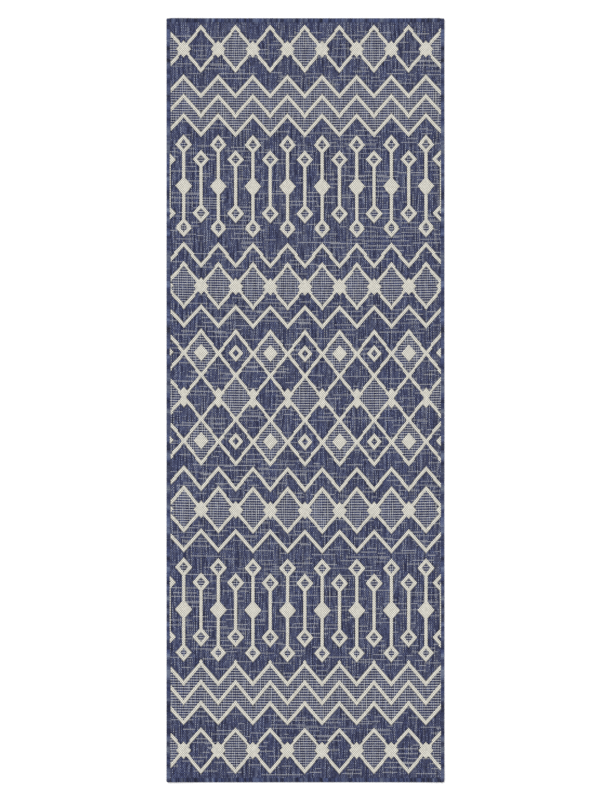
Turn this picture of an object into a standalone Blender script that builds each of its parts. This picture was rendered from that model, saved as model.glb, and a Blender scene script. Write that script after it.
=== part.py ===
"""A flat-woven runner rug, 0.80 x 2.20 m, lying face up on z = 0 with its length along Y.

The ground cloth is one slab whose thinner rim is gripped by four runs of overcast yarn. The raised cream
figures are thin inlays lying on the ground cloth, one object for each figure that the loom weaves by itself.
"""

import math

import bmesh
import bpy
from mathutils import Vector

# Overall size, in metres.
RUG_WIDTH = 0.800
RUG_LENGTH = 2.200
RUG_THICKNESS = 0.005
CLEARANCE = 0.0003

# Cloth and edge sewing.
FIGURE_THICKNESS = 0.0008
SIDE_SEWING_WIDTH = 0.0105
END_SEWING_WIDTH = 0.0125
SEWING_WRAP = 0.0009
SEWING_ROUNDING = 0.0011
ROUNDING_STEPS = 3

# Pattern repeat. Columns are counted from the middle one, so column 0.5 is halfway to the next.
COLUMNS_ACROSS = 8
PATTERN_SHIFT_X = -0.0019
PATTERN_SHIFT_Y = 0.0057
TAKE_UP_DRIFT = 0.0087
WEFT_BOW = 0.0042

# Figures: lines are measured along Y, diamonds by their half width and half height.
LINE_HEIGHT = 0.0143
ZIGZAG_HALF_HEIGHT = 0.0287
CHAIN_HALF_HEIGHT = 0.0622
CHAIN_JUNCTION = (0.0222, 0.0248)
LATTICE_HALF_PITCH = 0.0635
LATTICE_BUMP = (0.0130, 0.0150)
LATTICE_DIAMOND = (0.0212, 0.0243)
BAR_WIDTH = 0.0095
BAR_RING = (0.0240, 0.0275)
BAR_RING_HOLE = (0.0115, 0.0132)
BAR_KNOT = (0.0240, 0.0275)

# Distances of the bands from the middle of the lattice, out towards either end, on the design's card.
# A longer or shorter rug spreads the same bands, so that its end chains keep the same plain margin.
END_MARGIN = 0.00705
INNER_ZIGZAG_AT = 0.2335
MIDDLE_CHAIN_AT = 0.3212
OUTER_ZIGZAG_AT = 0.4101
TALL_BAR_FROM_TO = (0.4882, 0.7292)
SHORT_BAR_FROM_TO = (0.5306, 0.6863)
TRIPLE_ZIGZAG_AT = (0.7861, 0.8405, 0.8967)
END_CHAIN_AT = 1.0054

COLUMN_PITCH = RUG_WIDTH / COLUMNS_ACROSS
END_CHAIN_REACH = CHAIN_HALF_HEIGHT + LINE_HEIGHT / 2
ROOM_TO_END_CHAIN = RUG_LENGTH / 2 - END_SEWING_WIDTH - END_MARGIN - END_CHAIN_REACH - PATTERN_SHIFT_Y
BAND_SPREAD = ROOM_TO_END_CHAIN / END_CHAIN_AT
FIELD_HALF_WIDTH = RUG_WIDTH / 2 - SIDE_SEWING_WIDTH - CLEARANCE
FIGURE_BOTTOM = RUG_THICKNESS - FIGURE_THICKNESS
GROUND_TOP = FIGURE_BOTTOM - CLEARANCE
RIM_BOTTOM = SEWING_WRAP + CLEARANCE
RIM_TOP = RUG_THICKNESS - RIM_BOTTOM
WHOLE_COLUMNS = range(-3, 4)
HALF_COLUMNS = tuple(column + 0.5 for column in range(-4, 4))
BEYOND_COLUMNS = 5

for leftover in list(bpy.data.objects):
    bpy.data.objects.remove(leftover, do_unlink=True)


def material(name, colour, roughness):
    made = bpy.data.materials.new(name)
    made.use_nodes = True
    shader = made.node_tree.nodes["Principled BSDF"]
    shader.inputs["Base Color"].default_value = (*colour, 1.0)
    shader.inputs["Roughness"].default_value = roughness
    shader.inputs["Metallic"].default_value = 0.0
    return made


GROUND_YARN = material("navy_slub_yarn", (0.075, 0.095, 0.215), 0.85)
FIGURE_YARN = material("cream_figure_yarn", (0.640, 0.610, 0.500), 0.80)
EDGE_YARN = material("navy_overcast_yarn", (0.055, 0.070, 0.165), 0.75)


def object_from(bm, name, finish):
    mesh = bpy.data.meshes.new(name)
    bmesh.ops.recalc_face_normals(bm, faces=bm.faces)
    bm.to_mesh(mesh)
    bm.free()
    made = bpy.data.objects.new(name, mesh)
    if finish:
        mesh.materials.append(finish)
    bpy.context.scene.collection.objects.link(made)
    return made


def block(name, low, high, finish=None):
    """A box between two corners. Without a finish it is a hidden helper for a Boolean."""
    bm = bmesh.new()
    bmesh.ops.create_cube(bm, size=1.0)
    size = Vector(high) - Vector(low)
    bmesh.ops.scale(bm, vec=size, verts=bm.verts)
    bmesh.ops.translate(bm, vec=(Vector(low) + Vector(high)) / 2, verts=bm.verts)
    made = object_from(bm, name, finish)
    if finish is None:
        made.hide_render = True
        made.display_type = "WIRE"
    return made


def boolean(target, helper, operation):
    step = target.modifiers.new(f"{operation.lower()}_{helper.name}", "BOOLEAN")
    step.operation = operation
    step.solver = "EXACT"
    step.object = helper


# ---- ground cloth and the yarn sewn over its four edges ----

def rim_corners(extra=0.0):
    """The thin rim of the cloth, grown all round by extra."""
    reach_x = RUG_WIDTH / 2 - SEWING_WRAP - CLEARANCE + extra
    reach_y = RUG_LENGTH / 2 - SEWING_WRAP - CLEARANCE + extra
    low = (-reach_x, -reach_y, RIM_BOTTOM - extra)
    high = (reach_x, reach_y, RIM_TOP + extra)
    return low, high


def ground_cloth():
    half_x = FIELD_HALF_WIDTH
    half_y = RUG_LENGTH / 2 - END_SEWING_WIDTH - CLEARANCE
    cloth = block("ground_cloth", (-half_x, -half_y, 0.0), (half_x, half_y, GROUND_TOP), GROUND_YARN)
    boolean(cloth, block("rim_of_ground_cloth", *rim_corners()), "UNION")


def edge_sewing(name, low, high, slot):
    sewing = block(name, low, high, EDGE_YARN)
    rounding = sewing.modifiers.new("yarn_rounding", "BEVEL")
    rounding.width = SEWING_ROUNDING
    rounding.segments = ROUNDING_STEPS
    rounding.limit_method = "ANGLE"
    boolean(sewing, slot, "DIFFERENCE")


def all_edge_sewing():
    slot = block("slot_for_rim", *rim_corners(CLEARANCE))
    half_x = RUG_WIDTH / 2
    half_y = RUG_LENGTH / 2
    side_in = half_x - SIDE_SEWING_WIDTH
    end_in = half_y - END_SEWING_WIDTH
    end_reach = side_in - CLEARANCE
    top = RUG_THICKNESS
    edge_sewing("overcast_left", (-half_x, -half_y, 0), (-side_in, half_y, top), slot)
    edge_sewing("overcast_right", (side_in, -half_y, 0), (half_x, half_y, top), slot)
    edge_sewing("overcast_top", (-end_reach, end_in, 0), (end_reach, half_y, top), slot)
    edge_sewing("overcast_bottom", (-end_reach, -half_y, 0), (end_reach, -end_in, top), slot)


# ---- placing the pattern on the cloth ----

def at_column(column):
    return PATTERN_SHIFT_X + column * COLUMN_PITCH


def at_band(distance, side):
    """Y of a band. Side is 1 for the top half, -1 for the bottom half, which is woven a little longer."""
    if side < 0:
        distance = distance + TAKE_UP_DRIFT * distance * distance
    return PATTERN_SHIFT_Y + side * distance * BAND_SPREAD


def bowed(x, y):
    """Weft rows lie a little nearer the top end at the long edges than at mid width, most at mid length."""
    across = min(1.0, (x / FIELD_HALF_WIDTH) ** 2)
    along = max(0.0, math.cos(math.pi * y / RUG_LENGTH))
    return Vector((x, y + WEFT_BOW * across * along, FIGURE_BOTTOM))


def drop_crumbs(bm):
    """Keeps the largest connected area. A tip that the trimming cut free of its figure isn't woven."""
    unseen = set(bm.faces)
    areas = []
    while unseen:
        area = [unseen.pop()]
        for face in area:
            for neighbour in {other for edge in face.edges for other in edge.link_faces}:
                if neighbour in unseen:
                    unseen.remove(neighbour)
                    area.append(neighbour)
        areas.append(area)
    largest = max(areas, key=len)
    crumbs = [face for area in areas if area is not largest for face in area]
    bmesh.ops.delete(bm, geom=crumbs, context="FACES")


def figure(name, outline, holes=()):
    """A flat outline with holes, trimmed to the woven field and raised to the figure yarn's thickness."""
    bm = bmesh.new()
    for loop in (outline, *holes):
        corners = [bm.verts.new(bowed(x, y)) for x, y in loop]
        for here, following in zip(corners, corners[1:] + corners[:1]):
            bm.edges.new((here, following))
    bmesh.ops.triangle_fill(bm, use_beauty=True, use_dissolve=False, edges=bm.edges)
    for side in (-1, 1):
        everything = bm.verts[:] + bm.edges[:] + bm.faces[:]
        bmesh.ops.bisect_plane(
            bm,
            geom=everything,
            plane_co=(side * (FIELD_HALF_WIDTH - CLEARANCE), 0, 0),
            plane_no=(side, 0, 0),
            clear_outer=True,
        )
    drop_crumbs(bm)
    raised = bmesh.ops.extrude_face_region(bm, geom=bm.faces[:])
    tops = [item for item in raised["geom"] if isinstance(item, bmesh.types.BMVert)]
    bmesh.ops.translate(bm, vec=(0, 0, FIGURE_THICKNESS), verts=tops)
    object_from(bm, name, FIGURE_YARN)


def diamond(x, y, size):
    half_width, half_height = size
    return [(x, y + half_height), (x + half_width, y), (x, y - half_height), (x - half_width, y)]


# ---- zigzags ----

def zigzag(name, y, peaks_at_half):
    """One line running the whole width, with its peaks at the half columns or at the whole ones."""
    upper = []
    lower = []
    for step in range(-2 * BEYOND_COLUMNS, 2 * BEYOND_COLUMNS + 1):
        is_half = step % 2 == 1
        middle = y + (ZIGZAG_HALF_HEIGHT if is_half == peaks_at_half else -ZIGZAG_HALF_HEIGHT)
        upper.append((at_column(step / 2), middle + LINE_HEIGHT / 2))
        lower.append((at_column(step / 2), middle - LINE_HEIGHT / 2))
    figure(name, upper + lower[::-1])


# ---- chains of big diamonds ----

def chain(name, y, junctions_at_half):
    """Two lines crossing at solid junction diamonds, with an open diamond between each two junctions."""
    half_width, half_height = CHAIN_JUNCTION
    half_pitch = COLUMN_PITCH / 2
    slope = CHAIN_HALF_HEIGHT / half_pitch
    half_line = LINE_HEIGHT / 2
    tip_slope = half_height / half_width
    # Where a junction's edge meets the outer and the inner side of the lines.
    outer_dx = (half_height - half_line) / (slope + tip_slope)
    outer_dy = half_height - tip_slope * outer_dx
    inner_dx = (half_height + half_line) / (slope + tip_slope)
    inner_dy = half_height - tip_slope * inner_dx
    first = -BEYOND_COLUMNS + (0.5 if junctions_at_half else 0.0)
    junctions = [at_column(first + number) for number in range(2 * BEYOND_COLUMNS + 1)]
    top = []
    holes = []
    for x in junctions:
        top += [(x - outer_dx, outer_dy), (x, half_height), (x + outer_dx, outer_dy)]
        if x != junctions[-1]:
            middle = x + half_pitch
            far = x + COLUMN_PITCH
            apex = CHAIN_HALF_HEIGHT - half_line
            top.append((middle, CHAIN_HALF_HEIGHT + half_line))
            holes.append([
                (x + half_width, y),
                (x + inner_dx, y + inner_dy),
                (middle, y + apex),
                (far - inner_dx, y + inner_dy),
                (far - half_width, y),
                (far - inner_dx, y - inner_dy),
                (middle, y - apex),
                (x + inner_dx, y - inner_dy),
            ])
    outline = [(x, y + dy) for x, dy in top] + [(x, y - dy) for x, dy in reversed(top)]
    figure(name, outline, holes)


# ---- lattice in the middle of the rug ----

def lattice(name, y):
    """Five rows of open diamonds. Half-height diamonds stand above and below each middle crossing."""
    half_line = LINE_HEIGHT / 2
    half_pitch = COLUMN_PITCH / 2
    slope = LATTICE_HALF_PITCH / half_pitch
    hole = (half_pitch - half_line / slope, LATTICE_HALF_PITCH - half_line)
    bump_width, bump_height = LATTICE_BUMP
    bump_slope = bump_height / bump_width
    bump_tip = 2 * bump_height
    bump_dx = (bump_tip - half_line) / (slope + bump_slope)
    bump_dy = bump_tip - bump_slope * bump_dx
    outer_peak = 3 * LATTICE_HALF_PITCH + half_line
    outer_valley = 2 * LATTICE_HALF_PITCH + half_line
    steps = range(-2 * BEYOND_COLUMNS, 2 * BEYOND_COLUMNS + 1)
    top = [(at_column(step / 2), outer_valley if step % 2 else outer_peak) for step in steps]
    outline = [(x, y + dy) for x, dy in top] + [(x, y - dy) for x, dy in reversed(top)]
    holes = []
    for column in range(-BEYOND_COLUMNS + 1, BEYOND_COLUMNS):
        for row in (-2, 0, 2):
            holes.append(diamond(at_column(column), y + row * LATTICE_HALF_PITCH, hole))
    for column in range(-BEYOND_COLUMNS, BEYOND_COLUMNS):
        x = at_column(column + 0.5)
        for side in (-1, 1):
            row = y + side * LATTICE_HALF_PITCH
            holes.append([
                (x, row + side * hole[1]),
                (x + hole[0], row),
                (x + bump_dx, y + side * bump_dy),
                (x, y + side * bump_tip),
                (x - bump_dx, y + side * bump_dy),
                (x - hole[0], row),
            ])
    figure(name, outline, holes)


def lattice_diamonds(y):
    """Solid diamonds inside the outer rows of the lattice, in every second column."""
    for end, side in (("top", 1), ("bottom", -1)):
        for number, column in enumerate((-3, -1, 1, 3), start=1):
            row = y + side * 2 * LATTICE_HALF_PITCH
            figure(f"lattice_diamond_{end}_{number}", diamond(at_column(column), row, LATTICE_DIAMOND))


# ---- bars with a hollow diamond at each end ----

def bar(name, column, y_from, y_to, knotted):
    """An upright bar from one hollow diamond to another, with a solid diamond halfway on the tall ones."""
    x = at_column(column)
    half_bar = BAR_WIDTH / 2
    low, high = sorted((y_from, y_to))
    middle = (low + high) / 2

    def neck(size):
        """Height above a diamond's middle at which its edge meets the side of the bar."""
        return size[1] * (1 - half_bar / size[0])

    right = [(0.0, low - BAR_RING[1]), (BAR_RING[0], low), (half_bar, low + neck(BAR_RING))]
    if knotted:
        right += [(half_bar, middle - neck(BAR_KNOT)), (BAR_KNOT[0], middle)]
        right.append((half_bar, middle + neck(BAR_KNOT)))
    right += [(half_bar, high - neck(BAR_RING)), (BAR_RING[0], high), (0.0, high + BAR_RING[1])]
    left = [(-dx, y) for dx, y in reversed(right[1:-1])]
    outline = [(x + dx, y) for dx, y in right + left]
    holes = [diamond(x, low, BAR_RING_HOLE), diamond(x, high, BAR_RING_HOLE)]
    figure(name, outline, holes)


def bars(end, side):
    for number, column in enumerate(HALF_COLUMNS, start=1):
        reach = [at_band(distance, side) for distance in TALL_BAR_FROM_TO]
        bar(f"tall_bar_{end}_{number}", column, *reach, knotted=True)
    for number, column in enumerate(WHOLE_COLUMNS, start=1):
        reach = [at_band(distance, side) for distance in SHORT_BAR_FROM_TO]
        bar(f"short_bar_{end}_{number}", column, *reach, knotted=False)


# ---- the whole rug ----

ground_cloth()
all_edge_sewing()
lattice("lattice", at_band(0.0, 1))
lattice_diamonds(at_band(0.0, 1))
for end, side in (("top", 1), ("bottom", -1)):
    # The bottom half mirrors the top half, so what peaks at a half column there dips at it here.
    is_top = side > 0
    zigzag(f"zigzag_{end}_inner", at_band(INNER_ZIGZAG_AT, side), peaks_at_half=not is_top)
    chain(f"chain_{end}_middle", at_band(MIDDLE_CHAIN_AT, side), junctions_at_half=False)
    zigzag(f"zigzag_{end}_outer", at_band(OUTER_ZIGZAG_AT, side), peaks_at_half=is_top)
    bars(end, side)
    for number, distance in enumerate(TRIPLE_ZIGZAG_AT, start=1):
        zigzag(f"zigzag_{end}_triple_{number}", at_band(distance, side), peaks_at_half=is_top)
    chain(f"chain_{end}_end", at_band(END_CHAIN_AT, side), junctions_at_half=True)
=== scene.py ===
import math
import bpy
import numpy as np
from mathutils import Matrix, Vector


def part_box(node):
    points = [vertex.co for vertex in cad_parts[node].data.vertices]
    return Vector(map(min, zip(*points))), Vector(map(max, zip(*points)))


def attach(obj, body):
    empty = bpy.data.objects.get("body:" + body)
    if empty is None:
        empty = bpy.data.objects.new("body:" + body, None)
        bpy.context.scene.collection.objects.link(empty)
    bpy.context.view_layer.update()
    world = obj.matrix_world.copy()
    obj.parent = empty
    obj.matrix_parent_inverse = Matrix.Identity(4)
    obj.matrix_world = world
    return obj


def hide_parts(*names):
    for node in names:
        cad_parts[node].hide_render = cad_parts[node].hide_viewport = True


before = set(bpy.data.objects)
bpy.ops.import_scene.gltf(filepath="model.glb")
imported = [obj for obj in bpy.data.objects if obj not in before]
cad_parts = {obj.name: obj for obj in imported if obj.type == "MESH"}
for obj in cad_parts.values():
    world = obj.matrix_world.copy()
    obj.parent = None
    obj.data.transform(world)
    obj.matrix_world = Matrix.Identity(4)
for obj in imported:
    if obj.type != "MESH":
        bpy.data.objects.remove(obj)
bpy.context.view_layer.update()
print("frame loaded:", len(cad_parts), "nodes")

# the loom: one repeat of the pattern is woven with a fixed number of warp columns
loom = {
    "columnsPerRepeat": 32,
    "rows": 617,
    "rowGrowth": 0.015,      # rows are this share taller at the bottom end, and flatter at the top end
    "edgeGap": 0.0003,       # between the woven field and the overcasting
    "rimDrop": 0.0002,       # the rim under the overcasting is squeezed this much thinner
    "weftBow": 0.0042,       # rows reach this much nearer the top end at the long edges
    "weftSkew": 0.0012,      # and hang this much lower at the right edge than at mid width
    # loosely or tightly beaten bands of rows: where, how much lower they sit, and how far that reaches
    "slackBands": (
        (-0.895, 0.0042, 0.062),
        (-0.322, 0.0024, 0.045),
        (0.237, -0.0014, 0.035),
        (0.54, 0.0010, 0.07),
    ),
    "drawIn": 0.0037,        # share by which the pattern is drawn in across the rug
    "warpBow": 0.0009,       # columns bow this much to the right at the middle of the rug
    "heldBySewing": 0.02,    # the sewing holds the outer columns in place over this much
    "clothHalfLength": 1.1,
}

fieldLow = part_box("overcast_left")[1].x + loom["edgeGap"]
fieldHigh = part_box("overcast_right")[0].x - loom["edgeGap"]
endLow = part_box("overcast_bottom")[1].y + loom["edgeGap"]
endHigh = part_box("overcast_top")[0].y - loom["edgeGap"]
rugLow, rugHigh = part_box("overcast_left")[0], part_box("overcast_right")[1]
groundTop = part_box("ground_cloth")[1].z


def middleOf(node):
    low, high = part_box(node)
    return (low + high) / 2


patternX = middleOf("short_bar_top_4").x
repeat = middleOf("short_bar_top_5").x - patternX
columnWidth = repeat / loom["columnsPerRepeat"]
rowHeight = (endHigh - endLow) / loom["rows"]
firstColumn = math.ceil((fieldLow - patternX) / columnWidth - 0.5)
lastColumn = math.floor((fieldHigh - patternX) / columnWidth + 0.5)
columnCount = lastColumn - firstColumn + 1
rowCount = loom["rows"]


# 1 at the middle of the rug's length, 0 at both ends
def towardsMiddle(y):
    return np.maximum(0.0, np.cos(np.pi * np.asarray(y) / (2 * loom["clothHalfLength"])))


def bowAt(x, y):
    across = np.minimum(1.0, (np.asarray(x) / fieldHigh) ** 2)
    return loom["weftBow"] * across * towardsMiddle(y)


# rows of the real cloth stray a little from where the pattern was drawn
def strayAt(x, y):
    skew = loom["weftSkew"] * x / fieldHigh * towardsMiddle(y) * (1 - y / loom["clothHalfLength"])
    slack = sum(height * np.exp(-(((y - at) / reach) ** 2)) for at, height, reach in loom["slackBands"])
    inField = np.clip((fieldHigh - np.abs(x)) / loom["heldBySewing"], 0.0, 1.0)
    across = (loom["warpBow"] * towardsMiddle(y) ** 2 - loom["drawIn"] * x) * inField
    return across, -skew - slack


# how the laid cloth lifts off the floor: long shallow waves and slightly raised corners
drape = {
    "waveHeight": 0.0007,
    "waveLength": 0.71,
    "waveShare": 0.65,
    "waveBend": (1.7, 3.1, 0.6),         # the waves snake across the rug: how far, how often, from where
    "rippleLength": 0.43,
    "rippleShare": 0.35,
    "rippleSlant": (2.0, 2.3),
    "cornerLift": 0.0022,
    "cornerReach": 0.075,
}


def liftAt(x, y):
    x, y = np.asarray(x, float), np.asarray(y, float)
    bend, often, begin = drape["waveBend"]
    wave = np.sin(2 * np.pi * y / drape["waveLength"] + bend * np.sin(often * x + begin))
    start, slant = drape["rippleSlant"]
    ripple = np.sin(2 * np.pi * y / drape["rippleLength"] + start + slant * x)
    away = np.hypot(rugHigh.x - np.abs(x), loom["clothHalfLength"] - np.abs(y))
    corner = drape["cornerLift"] * np.exp(-((away / drape["cornerReach"]) ** 2))
    waves = 1 + drape["waveShare"] * wave + drape["rippleShare"] * ripple
    return drape["waveHeight"] * waves + corner


# cloth coordinates to the room: u counts columns from the pattern's middle, v counts rows from the bottom end
def place(u, v, z):
    x = patternX + np.asarray(u, float) * columnWidth
    share = np.asarray(v, float) / rowCount
    y = endLow + (endHigh - endLow) * share * (1 + loom["rowGrowth"] * (1 - share))
    y = y + bowAt(x, y)
    strayX, strayY = strayAt(x, y)
    x, y = x + strayX, y + strayY
    return np.stack(np.broadcast_arrays(x, y, z + liftAt(x, y)), -1)


def clothSpot(x, y):
    share = (np.asarray(y) - bowAt(x, y) - endLow) / (endHigh - endLow)
    growth = loom["rowGrowth"]
    v = rowCount * (1 + growth - np.sqrt((1 + growth) ** 2 - 4 * growth * share)) / (2 * growth)
    return (np.asarray(x) - patternX) / columnWidth, v


# plain weave: in every second cell, like a chessboard, the upright warp passes over the weft
rowIndex = np.arange(rowCount)[:, None]
columnIndex = np.arange(firstColumn, lastColumn + 1)[None, :]
cellU, cellV = np.broadcast_arrays(columnIndex * 1.0, rowIndex + 0.5)
warpOver = (columnIndex + rowIndex) % 2 == 0
print("loom set up:", columnCount, "columns by", rowCount, "rows")


def insideTriangle(u, v, a, b, c):
    def side(p, q):
        return (q[0] - p[0]) * (v - p[1]) - (q[1] - p[1]) * (u - p[0])
    first, second, third = side(a, b), side(b, c), side(c, a)
    return ((first >= 0) & (second >= 0) & (third >= 0)) | ((first <= 0) & (second <= 0) & (third <= 0))


# the cells that a figure of the frame covers
def cellsUnder(node):
    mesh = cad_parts[node].data
    mesh.calc_loop_triangles()
    covered = np.zeros(warpOver.shape, bool)
    for triangle in mesh.loop_triangles:
        if triangle.normal.z < 0.9:      # only the figure's upper face counts
            continue
        corners = [clothSpot(*mesh.vertices[k].co[:2]) for k in triangle.vertices]
        us = [float(c[0]) for c in corners]
        vs = [float(c[1]) for c in corners]
        top, bottom = int(max(0, min(vs) - 1)), int(min(rowCount, max(vs) + 2))
        left = int(max(0, min(us) - 1 - firstColumn))
        right = int(min(columnCount, max(us) + 2 - firstColumn))
        part = (slice(top, bottom), slice(left, right))
        covered[part] |= insideTriangle(cellU[part], cellV[part], *zip(us, vs))
    return covered


def cellsInDiamond(column, v, halfWidth, halfHeight):
    across = np.abs(cellU - column * loom["columnsPerRepeat"]) * columnWidth / halfWidth
    along = np.abs(cellV - v) * rowHeight / halfHeight
    return across + along < 1


# columns of the pattern, counted in repeats from its middle; the long edges cut the outermost ones
evenColumns = (-4, -2, 0, 2, 4)
oddColumns = (-3, -1, 1, 3)
halfColumns = (-3.5, -2.5, -1.5, -0.5, 0.5, 1.5, 2.5, 3.5)

figureNodes = sorted(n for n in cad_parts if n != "ground_cloth" and not n.startswith("overcast"))
figureCells = {node: cellsUnder(node) for node in figureNodes}
print("figures read from the frame:", len(figureCells))


def rowOf(node):
    middle = middleOf(node)
    return float(clothSpot(middle.x, middle.y)[1])


# small figures that the frame leaves out: hollow diamonds in the lattice, and bars cut by the long edges
smallFigures = {
    # half width and half height of each
    "hollowDiamond": (0.0220, 0.0238),
    "hollowDiamondHole": (0.0098, 0.0108),
    "barRing": (0.0240, 0.0275),
    "barRingHole": (0.0115, 0.0132),
    "cutBarColumns": {"left": -3.96, "right": 3.92},     # the sewing draws the outermost bars in
}


# the rows at the middle of a bar's two hollow ends
def ringRows(node):
    low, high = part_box(node)
    x, inset = middleOf(node).x, smallFigures["barRing"][1]
    return [float(clothSpot(x, y)[1]) for y in (low.y + inset, high.y - inset)]


def addSmallFigures():
    size, hole = smallFigures["hollowDiamond"], smallFigures["hollowDiamondHole"]
    for end in ("top", "bottom"):
        v = rowOf(f"lattice_diamond_{end}_2")
        for number, column in enumerate(evenColumns, start=1):
            ring = cellsInDiamond(column, v, *size) & ~cellsInDiamond(column, v, *hole)
            figureCells[f"lattice_ring_{end}_{number}"] = ring
        low, high = ringRows(f"short_bar_{end}_4")
        for side, column in smallFigures["cutBarColumns"].items():
            rings = np.zeros(warpOver.shape, bool)
            for v in (low, high):
                rings |= cellsInDiamond(column, v, *smallFigures["barRing"])
                rings &= ~cellsInDiamond(column, v, *smallFigures["barRingHole"])
            # the sewing hides all of the shaft but its outermost column
            shaft = columnIndex == (firstColumn if side == "left" else lastColumn)
            figureCells[f"cut_bar_{end}_{side}"] = rings | (shaft & (cellV > low) & (cellV < high))
    for node in [n for n in figureCells if not figureCells[n].any()]:
        del figureCells[node]


addSmallFigures()
allFigures = np.any(list(figureCells.values()), axis=0)
print("small figures added:", len(figureCells), "figures in all")


# hatched areas, where every second row is pale
def hatchBetween(upper, lower):
    above = figureCells[upper] | figureCells[lower]
    first = np.where(above.any(0), above.argmax(0), rowCount)
    last = rowCount - above[::-1].argmax(0)
    return (rowIndex >= first) & (rowIndex < last)


hatchLook = {
    "phase": 0,              # 0 or 1: whether even or odd rows are pale
    "tone": 0.90,
    "toneSpread": 0.20,
    "betweenRows": 0.2,      # how far the rows between the pale ones are shaded
    "endGap": 0.004,         # left bare at a diamond's upper and lower tip
    "seed": 5,
}

hatches = {}


def diamondsAt(columns, v, halfHeight):
    return np.any([cellsInDiamond(column, v, repeat / 2, halfHeight) for column in columns], axis=0)


def addHatches():
    for end in ("top", "bottom"):
        hatches[f"hatch_{end}_zigzags"] = hatchBetween(f"zigzag_{end}_triple_1", f"zigzag_{end}_triple_3")
        for which, columns in (("end", evenColumns), ("middle", halfColumns)):
            node = f"chain_{end}_{which}"
            low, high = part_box(node)
            halfHeight = (high.y - low.y) / 2 - hatchLook["endGap"]
            hatches[f"hatch_{node}"] = diamondsAt(columns, rowOf(node), halfHeight)
    low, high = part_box("lattice")
    halfHeight = (high.y - low.y) / 6        # the lattice is three diamonds high
    area = diamondsAt(evenColumns, rowOf("lattice"), halfHeight)
    for end in ("top", "bottom"):
        area |= diamondsAt(oddColumns, rowOf(f"lattice_diamond_{end}_2"), halfHeight)
    hatches["hatch_lattice"] = area
    rings = np.zeros(warpOver.shape, bool)
    for node in figureNodes:
        if "_bar_" in node:
            column = (middleOf(node).x - patternX) / repeat
            for v in ringRows(node):
                rings |= cellsInDiamond(column, v, *smallFigures["barRingHole"])
    hatches["hatch_bar_rings"] = rings
    for name in hatches:
        hatches[name] &= ~allFigures


addHatches()
allHatches = np.any(list(hatches.values()), axis=0)
print("hatched areas laid out:", len(hatches))


# a flat layout for baking: the face in one or two strips, and the back in a narrow strip of its own
bakeLayout = {
    "faceShare": 0.915,
    "backStart": 0.93,
    "backShare": 0.06,
    "sideMargin": 0.01,
    "endMargin": 0.005,
}


def flatLayout(mesh, strips):
    points = np.empty((len(mesh.vertices), 3), np.float32)
    mesh.vertices.foreach_get("co", points.ravel())
    corners = np.empty(len(mesh.loops), np.int32)
    mesh.loops.foreach_get("vertex_index", corners)
    sizes = np.empty(len(mesh.polygons), np.int32)
    mesh.polygons.foreach_get("loop_total", sizes)
    normals = np.empty((len(mesh.polygons), 3), np.float32)
    mesh.polygons.foreach_get("normal", normals.ravel())
    low, high = points.min(0), points.max(0)
    spots = ((points - low) / np.maximum(high - low, 1e-6))[corners, :2]
    starts = np.concatenate([[0], np.cumsum(sizes)[:-1]])
    # a share just under 1 keeps the far end in the last strip
    strip = np.floor(np.add.reduceat(spots[:, 1], starts) / sizes * strips * 0.9999)
    strip, isBack = np.repeat(strip, sizes), np.repeat(normals[:, 2] < -0.5, sizes)
    side, end = bakeLayout["sideMargin"], bakeLayout["endMargin"]
    across = (spots[:, 0] * (1 - 2 * side) + side + strip) * bakeLayout["faceShare"] / strips
    along = (spots[:, 1] * strips - strip) * (1 - 2 * end) + end
    backAcross = bakeLayout["backStart"] + bakeLayout["backShare"] * spots[:, 0]
    backAlong = spots[:, 1] * (1 - 2 * end) + end
    return np.stack([np.where(isBack, backAcross, across), np.where(isBack, backAlong, along)], -1)


def meshObject(name, points, faces, material, sheets, strips=1):
    mesh = bpy.data.meshes.new(name)
    mesh.from_pydata(points.tolist(), [], faces)
    mesh.polygons.foreach_set("use_smooth", [True] * len(mesh.polygons))
    corners = np.empty(len(mesh.loops), np.int32)
    mesh.loops.foreach_get("vertex_index", corners)
    if "OFBake" not in sheets:
        sheets["OFBake"] = flatLayout(mesh, strips)
    for layerName, values in sheets.items():
        if values.ndim == 2:
            layer = mesh.uv_layers.new(name=layerName)
            spots = values if len(values) == len(corners) else values[corners]
            layer.uv.foreach_set("vector", spots.astype(np.float32).ravel())
        else:
            layer = mesh.attributes.new(layerName, "FLOAT", "POINT")
            layer.data.foreach_set("value", values.astype(np.float32))
    mesh.materials.append(material)
    made = bpy.data.objects.new(name, mesh)
    bpy.context.scene.collection.objects.link(made)
    return made


# node helpers: an input is given as another node's socket, or as a plain value
def fillSockets(tree, made, inputs):
    for key, value in inputs.items():
        if isinstance(value, bpy.types.NodeSocket):
            tree.links.new(value, made.inputs[key])
        else:
            made.inputs[key].default_value = value


def addNode(tree, kind, inputs=None, **settings):
    made = tree.nodes.new("ShaderNode" + kind)
    for key, value in settings.items():
        setattr(made, key, value)
    fillSockets(tree, made, inputs or {})
    return made


def calc(tree, operation, first, second=None, third=None):
    given = {k: v for k, v in enumerate((first, second, third)) if v is not None}
    return addNode(tree, "Math", given, operation=operation).outputs[0]


def remap(tree, value, low, high, newLow, newHigh):
    spread = {"Value": value, "From Min": low, "From Max": high, "To Min": newLow, "To Max": newHigh}
    return addNode(tree, "MapRange", spread, clamp=True).outputs[0]


def blendColour(tree, amount, first, second, way="MIX"):
    mix = addNode(tree, "Mix", data_type="RGBA", blend_type=way)
    fillSockets(tree, mix, {0: amount, 6: first, 7: second})
    return mix.outputs[2]


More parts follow.
